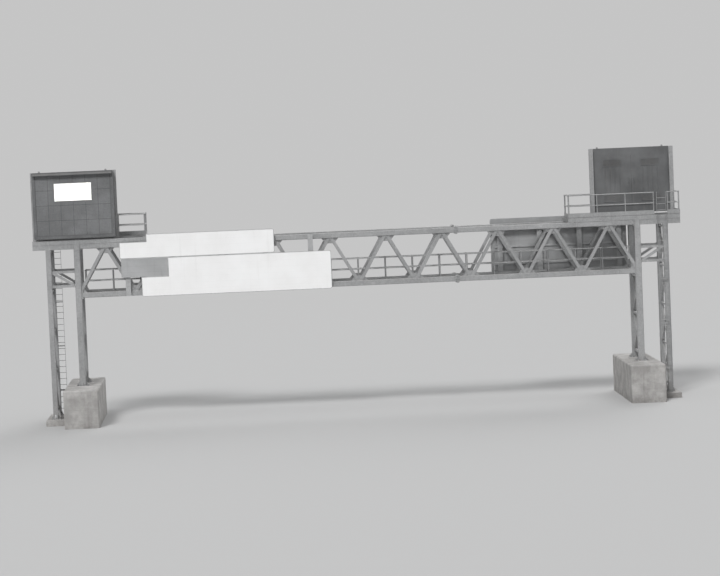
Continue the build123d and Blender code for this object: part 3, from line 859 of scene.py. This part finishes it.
postValues = {
    "plateRise": 0.020, "plateWide": 0.250, "plateFront": 0.060, "plateBack": 0.001,
    "plateBolts": (0.058, 0.048), "plateScale": 0.7, "cleats": 4, "margin": 0.400, "reach": 0.095,
    "thick": 0.010, "tall": 0.065, "boltAt": 0.60, "cleatScale": 0.45,
}


def postFittings(
    plateRise, plateWide, plateFront, plateBack, plateBolts, plateScale,
    cleats, margin, reach, thick, tall, boltAt, cleatScale,
):
    # a bolted foot plate at each post, and angle cleats from the casing's sides to the posts
    low, high = nodeBox("left_message_posts")
    casingLow, casingHigh = nodeBox("left_message_casing")
    half, face, floor = (high[1] - low[1]) / 2, low[1], low[2] + plateRise
    levels = np.linspace(low[2] + margin, high[2] - margin, cleats)
    bottoms, tops = levels - tall, levels + tall
    boltLevels = np.concatenate([levels - tall / 2, levels + tall / 2])
    pairs = []
    for outer, side, way in ((low[0], casingLow[0], 1), (high[0], casingHigh[0], -1)):
        near, tip, boltX = side - way * thick, side - way * reach, side - way * reach * boltAt
        metal = joined(
            boxes((outer, face - plateFront, low[2]), (outer + way * plateWide, high[1] - plateBack, floor)),
            boxes(gridOf((side,), (face - reach,), bottoms), gridOf((near,), (face,), tops)),
            boxes(gridOf((near,), (face - thick,), bottoms), gridOf((tip,), (face,), tops)),
        )
        heads = joined(
            boltsOn(2, floor, square(*plateBolts, (outer + way * half, face + half)), plateScale),
            boltsOn(0, near, gridOf((face - reach * boltAt,), boltLevels), cleatScale, -way),
            boltsOn(1, face - thick, gridOf((boltX,), boltLevels), cleatScale, -1),
        )
        pairs.append((metal, heads))
    return joinedPairs(pairs)


addTowerSteel(("post_plates", "post_bolts"), postFittings(**postValues))


doorValues = {
    "face": 0.030, "hinges": 4, "hingeEnd": 0.250, "pin": (0.014, 0.150), "pinOff": 0.006,
    "leaf": (0.070, 0.006, 0.120), "leafIn": 0.045, "vent": (0.900, 0.300), "ventEdge": 0.220, "rim": 0.030,
    "depth": 0.022, "slats": 9, "slatThick": 0.004, "slatDrop": 0.85, "ribs": 4, "ribSpan": 0.8,
    "ribGap": 0.120, "rib": [(-0.030, 0), (0.030, 0), (0.018, 0.012), (-0.018, 0.012)],
    "seal": 0.012, "sealDepth": (0.028, 0.004),
}


def doorFittings(
    face, hinges, hingeEnd, pin, pinOff, leaf, leafIn, vent, ventEdge, rim, depth,
    slats, slatThick, slatDrop, ribs, ribSpan, ribGap, rib, seal, sealDepth,
):
    # hinges at the outer edges, vents at top and bottom whose slats lean out and down by a share of
    # their pitch, pressed ribs between the vents, and a dark seal where the doors meet
    low, high = nodeBox("left_message_doors")
    middle, skin = (low[0] + high[0]) / 2, low[1] + face
    hingeLevels = np.linspace(low[2] + hingeEnd, high[2] - hingeEnd, hinges)
    half, tall, front = vent[0] / 2, vent[1] / 2, skin + depth
    ventLevels = low[2] + ventEdge + tall, high[2] - ventEdge - tall
    pitch = vent[1] / slats
    drop = -pitch * slatDrop
    slat = [(0, slatThick), (0, 0), (depth, drop), (depth, drop + slatThick)]
    slatSteps = tall - slatThick - np.arange(slats) * pitch
    ribStart, ribEnd = ventLevels[0] + tall + ribGap, ventLevels[1] - tall - ribGap
    metal = []
    for way, edge in ((-1, low[0]), (1, high[0])):
        centre = (middle + edge) / 2
        pins = gridOf((edge - way * pinOff,), (skin + pinOff,), hingeLevels - pin[1] / 2)
        leaves = gridOf((edge - way * leafIn,), (skin + leaf[1] / 3,), hingeLevels)
        metal += [repeated(revolved([(pin[0], 0), pin], 10), pins), slab(leaves, leaf)]
        left, right = centre - half - rim, centre + half + rim
        for z in ventLevels:
            for end in (-1, 1):
                x, level = centre + end * half, z + end * tall
                metal += [
                    boxes((left, skin, level), (right, front, level + end * rim)),
                    boxes((x, skin, z - tall), (x + end * rim, front, z + tall)),
                ]
            metal += [extruded(slat, (centre - half, skin, z + step), 0, vent[0]) for step in slatSteps]
        span = half * ribSpan
        metal += [
            extruded(rib, (x, skin, ribStart), 2, ribEnd - ribStart)
            for x in np.linspace(centre - span, centre + span, ribs)
        ]
    sealBack, sealFront = (skin - deep for deep in sealDepth)
    strip = boxes((middle - seal / 2, sealBack, low[2]), (middle + seal / 2, sealFront, high[2]))
    return joined(*metal), strip


doorMetal, doorSeals = doorFittings(**doorValues)
addTowerPiece("door_fittings", doorMetal, paint, "dark_casing", roundUnder=30)
addTowerPiece("door_seals", doorSeals, rubber, "dark_casing")
print("message signs dressed")


# Direction boards

boardValues = {"gap": 0.020, "corner": 0.090, "lip": 0.004, "rim": 0.020, "proud": 0.003, "steps": 6}


def outlineOf(corners, radii, offset):
    # closed outline in (x, z), anticlockwise: an arc at each corner with a radius, a mitre at the rest
    corners = np.asarray(corners, float)
    before, after = np.roll(corners, 1, axis=0), np.roll(corners, -1, axis=0)
    points = []
    for corner, last, following, radius in zip(corners, before, after, radii):
        come = (corner - last) / np.linalg.norm(corner - last)
        go = (following - corner) / np.linalg.norm(following - corner)
        turnsLeft = come[0] * go[1] - come[1] * go[0] > 0
        if radius:
            centre = corner - come * radius + go * radius
            angles = np.linspace(0, np.pi / 2, boardValues["steps"])[:, None]
            points.append(centre + (radius + offset) * (-go * np.cos(angles) + come * np.sin(angles)))
        else:
            points.append((corner + offset * (come - go) * (1 if turnsLeft else -1))[None])
    return np.vstack(points)


def edging(corners, radii, low, high):
    # aluminium edge section: an inner and an outer outline at the front and the back, joined all round
    inner = outlineOf(corners, radii, -boardValues["rim"])
    outer = outlineOf(corners, radii, boardValues["lip"])
    front, back = low[1] - boardValues["proud"], high[1] + boardValues["proud"]
    rings = ((inner, front), (inner, back), (outer, back), (outer, front))
    return skinned([np.insert(flat, 1, y, axis=1) for flat, y in rings], endless=True)


upperLow, upperHigh = nodeBox("upper_board")
lowerLow, lowerHigh = nodeBox("lower_board")
plateLow, plateHigh = nodeBox("blank_plate")
rearLow, rearHigh = nodeBox("rear_board")
platformLow, platformHigh = nodeBox("left_platform_frame")


def boardEdges(gap, radius):
    # outlines from each board's lower left corner, anticlockwise as seen from the front; the two white
    # boards are cut out at their upper left, round the platform's frame and round the plate
    edges = []
    for low, high, cutX, cutZ in (
        (upperLow, upperHigh, platformHigh[0] + gap, platformLow[2] - gap),
        (lowerLow, lowerHigh, plateHigh[0] + gap, plateLow[2] - gap),
    ):
        (left, _, bottom), (right, _, top) = low, high
        corners = [(left, bottom), (right, bottom), (right, top), (cutX, top), (cutX, cutZ), (left, cutZ)]
        edges.append(edging(corners, (radius, radius, radius, 0, 0, 0), low, high))
    for low, high, rounding in ((plateLow, plateHigh, 0), (rearLow, rearHigh, radius)):
        (left, _, bottom), (right, _, top) = low, high
        corners = [(left, bottom), (right, bottom), (right, top), (left, top)]
        edges.append(edging(corners, [rounding] * 4, low, high))
    return joined(*edges)


boardEdging = boardEdges(boardValues["gap"], boardValues["corner"])
addPiece("board_edging", boardEdging, aluminium, "aluminium_rail", roundUnder=40)

fixingValues = {
    "frontPosts": (-11.35, 2.25, 5), "rearPosts": (7.20, 2.00, 4), "postDepth": 0.150, "railDepth": 0.060,
    "wall": 0.014, "postBolts": (0.080, 0.070), "postScale": 0.8, "clipX": 0.088,
    "clip": (0.050, 0.015, 0.110), "clipScale": 0.5, "margin": 0.2,
}


def boardFixings(
    frontPosts, rearPosts, postDepth, railDepth, wall, postBolts, postScale, clipX, clip, clipScale, margin,
):
    # four bolts where each post crosses a chord, and two clips with a bolt where it crosses a rail
    def railLevels(bottom, top, count):  # a board's outer rails lie this share of its height inside it
        return bottom + (top - bottom) * np.linspace(margin, 1 - margin, count)

    front, rear = (first + pitch * np.arange(count) for first, pitch, count in (frontPosts, rearPosts))
    joint, notch = (upperLow[2] + plateHigh[2]) / 2, plateLow[2] - boardValues["gap"]
    upperRails = railLevels(joint, upperHigh[2], 2)
    frontRails = [
        (front[:4], upperRails[:1]), (front[1:4], upperRails[1:]), (front, railLevels(notch, joint, 2)),
        (front[1:], ((lowerLow[2] + notch) / 2,)),
    ]
    rearRails = [(rear, railLevels(rearLow[2], rearHigh[2], 3))]
    pairs = []
    for side, posts, rails, rim in (
        (-1, front, frontRails, -nodeBox("front_board_frame")[0][1]),
        (1, rear, rearRails, nodeBox("rear_board_frame")[1][1]),
    ):
        postFace = rim - railDepth
        clipAt, chordAt = side * (postFace - wall - clip[1]), side * (postFace - postDepth + wall)
        crossings = np.vstack([gridOf(xs, zs) for xs, zs in rails])
        flat = np.vstack([crossings - (clipX, 0), crossings + (clipX, 0)])
        around = np.vstack([square(*postBolts, crossing) for crossing in gridOf(posts, chordLevels)])
        heads = joined(
            boltsOn(1, chordAt, around, postScale, side),
            boltsOn(1, clipAt - side * clip[1] / 2, flat, clipScale, -side),
        )
        pairs.append((heads, slab(np.insert(flat, 1, clipAt, axis=1), clip)))
    return joinedPairs(pairs)


boardBolts, boardClips = boardFixings(**fixingValues)
addBolts("board_post_bolts", boardBolts)
addPiece("board_rail_clips", boardClips, aluminium, "aluminium_rail")
print("direction boards dressed")


# Beam, ladder and plinth details

trunkValues = {
    "strapPitch": 2.70, "strapEnd": 0.100, "strapWidth": 0.060, "strapRise": 0.004, "strapDrop": 0.012,
    "clipPitch": 0.90, "clipEnd": 0.400, "clip": (0.040, 0.012, 0.050),
}


def trunkingFittings(strapPitch, strapEnd, strapWidth, strapRise, strapDrop, clipPitch, clipEnd, clip):
    # cover straps over the joints of the lid and spring clips along both of its edges
    (left, front, _), (right, back, top) = nodeBox("cable_trunking")
    strap = (strapWidth, back - front + 2 * strapRise, strapDrop + strapRise)
    strapX = spread(left + strapEnd, right - strapEnd, strapPitch)
    clipX = spread(left + clipEnd, right - clipEnd, clipPitch)
    straps = gridOf(strapX, ((front + back) / 2,), (top + (strapRise - strapDrop) / 2,))
    clips = gridOf(clipX, (front - clip[1] / 4, back + clip[1] / 4), (top - clip[2] / 2,))
    return joined(slab(straps, strap), slab(clips, clip))


addPiece("trunking_fittings", trunkingFittings(**trunkValues), steel, "galvanised_steel")

plugValues = {
    "radius": 0.026, "rise": 0.004, "edge": (0.425, 0.500), "pitch": (0.85, 1.20), "levels": (0.45, 1.35),
}


def plinthPlugs(radius, rise, edge, pitch, levels):
    # mortar plugs in the formwork's tie holes, on the four upright faces
    corners = nodeBox("left_plinth")
    plug = revolved([(radius, -rise), (radius, rise / 2), (radius * 0.8, rise)], 12)
    xs, ys = (spread(corners[0][i] + edge[i], corners[1][i] - edge[i], pitch[i]) for i in (0, 1))
    faces = []
    for way, corner in zip((-1, 1), corners):
        faces.append(repeated(plug, gridOf((corner[0],), ys, levels), facing((way, 0, 0))))
        faces.append(repeated(plug, gridOf(xs, (corner[1],), levels), facing((0, way, 0))))
    return joined(*faces)


addTowerPiece("plinth_plugs", plinthPlugs(**plugValues), concrete, "concrete", roundUnder=40)


ladderValues = {
    "span": 0.450, "width": 0.065, "thick": 0.014, "rung": 0.012, "rungEnd": 0.004, "pitch": 0.300,
    "levels": (1.5, 3.7, 5.9), "headLevel": 8.925, "armTall": 0.050, "armThick": 0.012, "armBolt": 0.030,
    "armScale": 0.45, "plate": (0.100, 0.010, 0.160), "plateBolt": 0.056, "plateScale": 0.55,
}


def ladderBars(
    span, width, thick, rung, rungEnd, pitch, levels, headLevel,
    armTall, armThick, armBolt, armScale, plate, plateBolt, plateScale,
):
    # flat stringers, round rungs through them, cross bars behind them and arms to the post and the platform
    low, high = nodeBox("left_ladder")
    middle, wall, far = (low[0] + high[0]) / 2, low[1], high[1]
    near, half, tall = far - width, thick / 2, armTall / 2
    sides = middle + np.array((-1, 1)) * span / 2
    left, right = sides[0] - half, sides[1] + half
    heights = spread(low[2] + pitch, high[2] - pitch, pitch)
    rungs = [gridOf((x,), (near + width / 2,), heights) for x in (left - rungEnd, right + rungEnd)]
    bars = [tubes(*rungs, rung, 12)]
    for z in levels:
        bars.append(boxes((left, near - armThick, z - tall), (right, near, z + tall)))
        bars.append(boxes((left, wall, z - tall), (left + armThick, near, z + tall)))
    for x in sides:
        bars.append(boxes((x - half, near, low[2]), (x + half, far, high[2])))
        arm = (armThick, near + armThick - wall, armTall)
        bars.append(slab((x, wall + arm[1] / 2, headLevel), arm))
    plates = np.array([(left + tall, z) for z in levels] + [(x, headLevel) for x in sides])
    bars.append(slab(np.insert(plates, 1, wall + plate[1] / 2, axis=1), plate))
    flat = np.vstack([plates - (0, plateBolt), plates + (0, plateBolt)])
    pins = gridOf((left + armBolt, sides[1] - armBolt), levels)
    heads = boltsOn(1, wall + plate[1], flat, plateScale)
    return joined(*bars), joined(heads, boltsOn(1, near - armThick, pins, armScale, -1, stud=False))


ladderForms = ladderBars(**ladderValues)
addTowerSteel(("ladder_bars", "ladder_bolts"), ladderForms, roundUnder=40, replaces="ladder")


weldValues = {
    "bead": 0.007, "sides": 6, "legLine": 13.80, "panels": 10, "chord": 0.250, "brace": 0.150,
    "gusset": 0.010, "reach": 0.420,
}


def trussWelds(bead, sides, legLine, panels, chord, brace, gusset, reach):
    # beads round each pair of braces where it lands on a chord, and along both sides of its gusset;
    # a brace's foot is as long as its slope makes its width, plus what it leans over half the chord
    floor, ceiling = chordLevels
    half, edge = legLine / panels, brace / 2
    slope = half / (ceiling - floor)
    foot = chord / 2 * slope + edge * math.hypot(1, slope)
    corners = np.array([(-foot, -edge), (foot, -edge), (foot, edge), (-foot, edge)])
    starts = np.vstack([corners, square(foot, gusset)])
    ends = np.vstack([np.roll(corners, -1, axis=0), square(reach, gusset)])
    beads = tubes(np.insert(starts, 2, 0, axis=1), np.insert(ends, 2, 0, axis=1), bead, sides)
    feet = gridOf(-legLine + 2 * half * np.arange(1, panels), chordLines, (floor + chord / 2,))
    peaks = gridOf(-legLine + half * np.arange(1, 2 * panels, 2), chordLines, (ceiling - chord / 2,))
    return repeated(beads, np.vstack([feet, peaks]))


addPiece("truss_welds", trussWelds(**weldValues), steel, "galvanised_steel", roundUnder=70)

endValues = {"thick": 0.030, "halfWidth": 0.150, "bolts": (0.115, 0.160), "scale": 0.8}


def chordEnds(thick, halfWidth, bolts, scale):
    # plates that bolt each chord's end to its leg; the upper ones stop under the platform
    end, top = trussLow[0], platformLow[2]
    pairs = []
    for y, z in gridOf(chordLines, chordLevels):
        plate = boxes((end, y - halfWidth, z - flange), (end + thick, y + halfWidth, min(z + flange, top)))
        flat = square(*bolts, (y, z))
        pairs.append((plate, boltsOn(0, end + thick, flat[flat[:, 1] < top], scale)))
    return joinedPairs(pairs)


addTowerSteel(("chord_end_plates", "chord_end_bolts"), chordEnds(**endValues))

clampValues = {
    "places": (-13.45, -12.42, -10.62), "plate": (0.120, 0.010, 0.180), "step": 0.050, "scale": 0.6,
}


def platformClamps(places, plate, step, scale):
    # plates across the joint of the platform's frame and the chords, one bolt above it and one below
    level = platformLow[2]
    flat = gridOf(places, (level - step, level + step))
    pairs = []
    for side, face in ((-1, platformLow[1]), (1, platformHigh[1])):
        middles = gridOf(places, (face + side * plate[1] / 2,), (level,))
        pairs.append((slab(middles, plate), boltsOn(1, face + side * plate[1], flat, scale, side)))
    return joinedPairs(pairs)


addTowerSteel(("platform_clamps", "platform_clamp_bolts"), platformClamps(**clampValues))

tieValues = {"half": 0.060, "plate": (0.012, 0.230, 0.180), "bolts": (0.088, 0.058), "scale": 0.6}


def tieFixings(half, plate, bolts, scale):
    # a plate with four bolts at each end of each tie between the leg and the outer post
    low, high = nodeBox("left_tie_frames")
    pairs = []
    for y, z in gridOf((low[1] + half, high[1] - half), (low[2] + half, high[2] - half)):
        for x, way in ((low[0], 1), (high[0], -1)):
            heads = boltsOn(0, x + way * plate[0], square(*bolts, (y, z)), scale, way)
            pairs.append((slab((x + way * plate[0] / 2, y, z), plate), heads))
    return joinedPairs(pairs)


addTowerSteel(("tie_plates", "tie_bolts"), tieFixings(**tieValues))
print("beam, ladder and plinth details made")


# Floor, light and camera

stageValues = {
    "size": 4000.0, "drop": 0.003, "floor": 0.50, "near": 32.0, "far": 120.0, "backdrop": 0.56, "soft": 0.42,
}


def floorFinish():
    # pale matt floor near the gantry that passes into the plain backdrop's tone far away
    finish = Finish("studioFloor")
    distance = finish.node("ShaderNodeVectorMath", {"operation": "LENGTH"}, (finish.place,), "Value")
    away = distance.eased(stageValues["near"], stageValues["far"])
    floor = finish.node("ShaderNodeBsdfDiffuse", {}, {"Color": grey(stageValues["floor"])})
    plain = finish.node("ShaderNodeEmission", {}, {"Color": grey(stageValues["backdrop"]), "Strength": 1.0})
    mixed = finish.node("ShaderNodeMixShader", {}, {0: away * finish.seen(), 1: floor, 2: plain})
    return finish.closed(mixed)


def addFloor():
    # one wide level square, just under the feet
    mesh = bpy.data.meshes.new("studio_floor")
    corners = np.insert((squareRing - 0.5) * stageValues["size"], 2, 0, axis=1)
    mesh.from_pydata(corners.tolist(), [], [(0, 1, 2, 3)])
    mesh.materials.append(floorFinish())
    floor = bpy.data.objects.new("studio_floor", mesh)
    bpy.context.scene.collection.objects.link(floor)
    floor.location = (0, 0, -stageValues["drop"])


def addSky():
    # soft light on the object, and the plain backdrop where the camera looks
    world = bpy.data.worlds.new("studioWorld")
    bpy.context.scene.world = world
    sky = Finish("studioWorld", world)
    soft = sky.node("ShaderNodeBackground", {}, {"Color": grey(0.9, -0.01), "Strength": stageValues["soft"]})
    plain = sky.node("ShaderNodeBackground", {}, {"Color": grey(stageValues["backdrop"]), "Strength": 1.0})
    mixed = sky.node("ShaderNodeMixShader", {}, {0: sky.seen(), 1: soft, 2: plain})
    sky.closed(mixed, "ShaderNodeOutputWorld")


studioLamps = {
    "frontKey": {"direction": (-0.35, -1.0, 0.95), "strength": 2.10, "angle": 14.0},
    "overhead": {"direction": (0.10, -0.15, 1.0), "strength": 0.25, "angle": 50.0},
    "rearFill": {"direction": (0.55, 1.0, 0.75), "strength": 1.25, "angle": 40.0},
}


def addLamp(name, direction, strength, angle):
    # a distant lamp that shines from this direction towards the gantry
    data = bpy.data.lights.new(name, "SUN")
    data.energy = strength
    data.angle = math.radians(angle)
    lamp = bpy.data.objects.new(name, data)
    lamp.rotation_mode = "QUATERNION"
    lamp.rotation_quaternion = Vector(direction).to_track_quat("Z", "Y")
    lamp.location = Vector(direction) * 40
    bpy.context.scene.collection.objects.link(lamp)


cameraValues = {
    "station": (-5.1, -138.7, 14.16), "turns": {"yaw": 2.124, "pitch": 3.36, "roll": 2.42},
    "lensPixels": 2800.0, "imageWidth": 720.0, "sensor": 36.0, "clip": (1.0, 6000.0),
}


def addCamera(station, turns, lensPixels, imageWidth, sensor, clip):
    # yaw turns from +Y towards +X, pitch looks down, and roll lifts the picture's right side
    yaw, pitch, roll = (math.radians(turns[key]) for key in ("yaw", "pitch", "roll"))
    forward = Vector((math.sin(yaw) * math.cos(pitch), math.cos(yaw) * math.cos(pitch), -math.sin(pitch)))
    level = Vector((math.cos(yaw), -math.sin(yaw), 0))
    upright = level.cross(forward)
    right = level * math.cos(roll) - upright * math.sin(roll)
    above = level * math.sin(roll) + upright * math.cos(roll)
    data = bpy.data.cameras.new("photoView")
    data.sensor_width = sensor
    data.lens = lensPixels * sensor / imageWidth
    data.clip_start, data.clip_end = clip
    camera = bpy.data.objects.new("photoView", data)
    camera.matrix_world = Matrix.Translation(station) @ Matrix((right, above, -forward)).transposed().to_4x4()
    bpy.context.scene.collection.objects.link(camera)
    bpy.context.scene.camera = camera


addFloor()
addSky()
for lampName, values in studioLamps.items():
    addLamp(lampName, **values)
addCamera(**cameraValues)
bpy.context.scene.view_settings.view_transform = "Standard"
